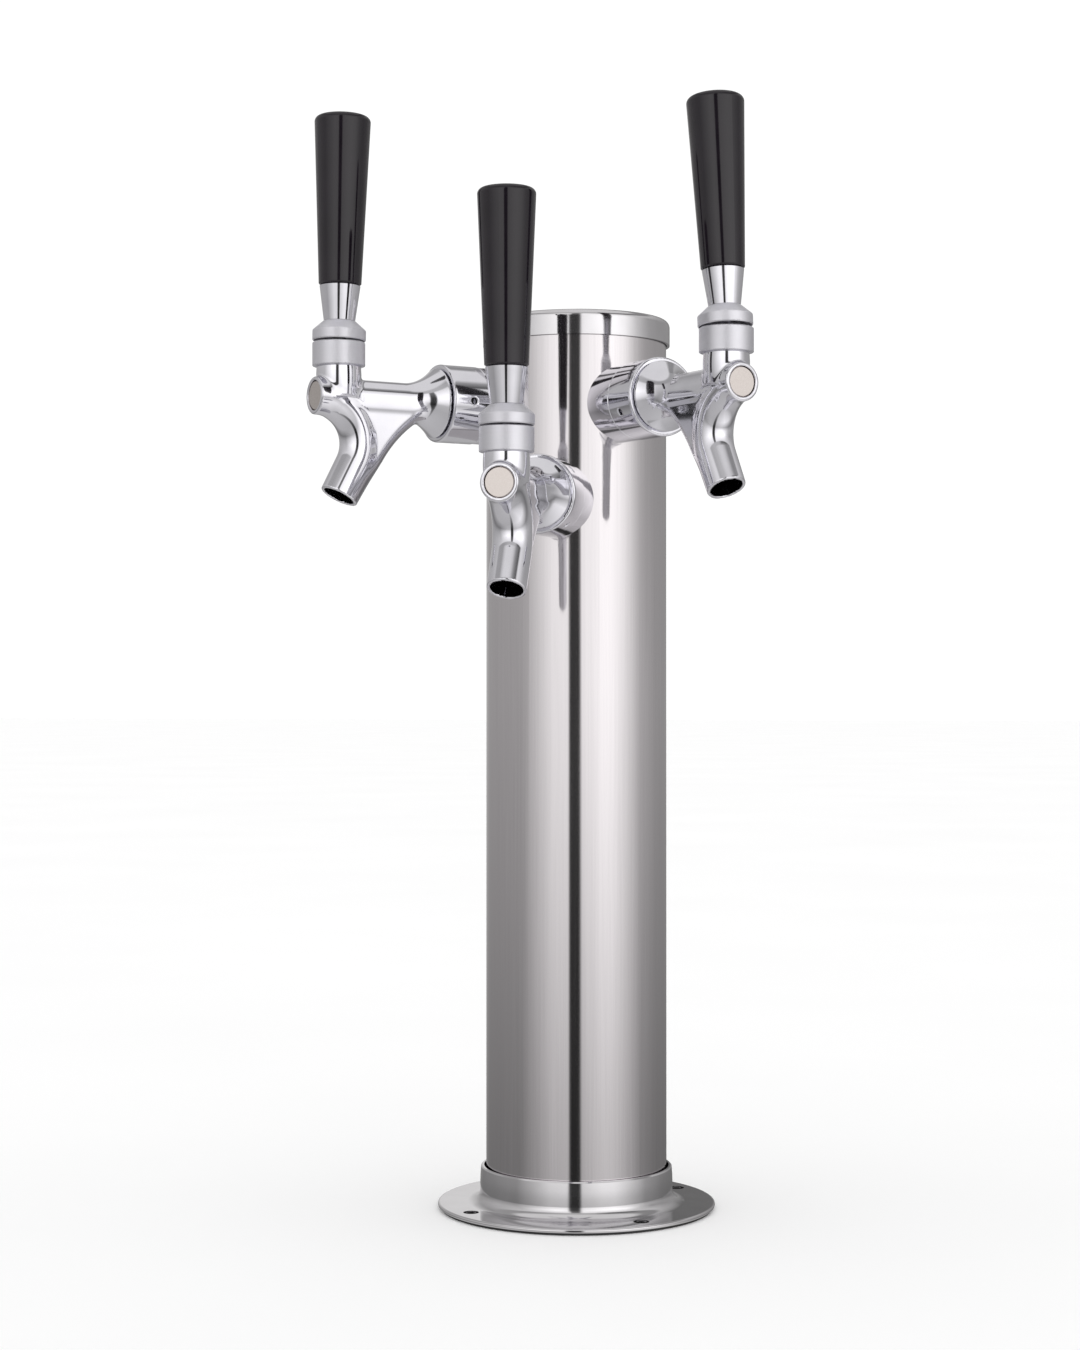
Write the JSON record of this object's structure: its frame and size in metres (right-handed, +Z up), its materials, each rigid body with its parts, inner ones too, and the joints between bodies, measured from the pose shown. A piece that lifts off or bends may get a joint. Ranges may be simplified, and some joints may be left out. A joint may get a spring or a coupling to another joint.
{
  "type": "beer tap tower",
  "caption": "Round column drinks tower with a bolt-down flange, a lift-off cap and lever faucets that each work a sliding valve.",
  "frame": {"origin": "on the column's axis, at the centre of the four fixing holes, on the underside of the base gasket", "axes": "+Z up the column; the front faucet points along -Y; +X is to the right of a person facing the front faucet"},
  "size_m": [0.1828, 0.1813, 0.4495],
  "materials": {
    "brushed_column": "polished with a fine lengthwise grain",
    "polished_steel": "polished",
    "chrome": "mirror chrome",
    "satin_chrome": "satin chrome",
    "satin_plug": "satin, warm grey",
    "brass": "bare brass",
    "rubber": "matte black",
    "white_plastic": "smooth",
    "foam": "closed-cell foam",
    "black_plastic": "semi-gloss black"
  },
  "bodies": {
    "tower": {"column_tube": "brushed_column", "base_flange": "polished_steel", "base_gasket": "rubber", "insulation_sleeve": "foam", "shank_left": "chrome", "shank_flange_left": "chrome", "shank_locknut_left": "brass", "tail_elbow_left": "chrome", "coupling_nut_left": "chrome", "coupling_gasket_left": "rubber", "faucet_body_left": "chrome", "guide_plug_left": "satin_plug", "ball_washer_left": "white_plastic", "bonnet_left": "satin_chrome", "shank_center": "chrome", "shank_flange_center": "chrome", "shank_locknut_center": "brass", "tail_elbow_center": "chrome", "coupling_nut_center": "chrome", "coupling_gasket_center": "rubber", "faucet_body_center": "chrome", "guide_plug_center": "satin_plug", "ball_washer_center": "white_plastic", "bonnet_center": "satin_chrome", "shank_right": "chrome", "shank_flange_right": "chrome", "shank_locknut_right": "brass", "tail_elbow_right": "chrome", "coupling_nut_right": "chrome", "coupling_gasket_right": "rubber", "faucet_body_right": "chrome", "guide_plug_right": "satin_plug", "ball_washer_right": "white_plastic", "bonnet_right": "satin_chrome"},
    "cap": {"top_cap": "polished_steel", "cap_seal": "rubber"},
    "lever_left": {"ball_lever_left": "chrome", "lever_collar_left": "satin_chrome", "handle_ferrule_left": "chrome", "handle_grip_left": "black_plastic"},
    "shaft_left": {"valve_shaft_left": "chrome", "seat_washer_left": "rubber", "shaft_nut_left": "chrome"},
    "lever_center": {"ball_lever_center": "chrome", "lever_collar_center": "satin_chrome", "handle_ferrule_center": "chrome", "handle_grip_center": "black_plastic"},
    "shaft_center": {"valve_shaft_center": "chrome", "seat_washer_center": "rubber", "shaft_nut_center": "chrome"},
    "lever_right": {"ball_lever_right": "chrome", "lever_collar_right": "satin_chrome", "handle_ferrule_right": "chrome", "handle_grip_right": "black_plastic"},
    "shaft_right": {"valve_shaft_right": "chrome", "seat_washer_right": "rubber", "shaft_nut_right": "chrome"}
  },
  "joints": [
    {"name": "lever_left", "type": "hinge", "parent": "tower", "child": "lever_left", "pos_m": [-0.07884, -0.07884, 0.351], "axis": [0.7071, -0.7071, 0], "range_deg": [0, 36]},
    {"name": "shaft_left", "type": "slide", "parent": "tower", "child": "shaft_left", "axis": [0.7071, 0.7071, 0], "range_m": [0, 0.0076]},
    {"name": "lever_center", "type": "hinge", "parent": "tower", "child": "lever_center", "pos_m": [0, -0.1115, 0.3115], "axis": [1, 0, 0], "range_deg": [0, 35]},
    {"name": "shaft_center", "type": "slide", "parent": "tower", "child": "shaft_center", "axis": [0, 1, 0], "range_m": [0, 0.0076]},
    {"name": "lever_right", "type": "hinge", "parent": "tower", "child": "lever_right", "pos_m": [0.07884, -0.07884, 0.351], "axis": [0.7071, 0.7071, 0], "range_deg": [0, 39.5]},
    {"name": "shaft_right", "type": "slide", "parent": "tower", "child": "shaft_right", "axis": [-0.7071, 0.7071, 0], "range_m": [0, 0.0076]},
    {"name": "cap_lift", "type": "slide", "parent": "tower", "child": "cap", "axis": [0, 0, 1], "range_m": [0, 0.03]}
  ],
  "couplings": [
    {"joint": "shaft_left", "follows": "lever_left", "m_per_rad": 0.011867},
    {"joint": "shaft_center", "follows": "lever_center", "m_per_rad": 0.012206},
    {"joint": "shaft_right", "follows": "lever_right", "m_per_rad": 0.010816}
  ]
}
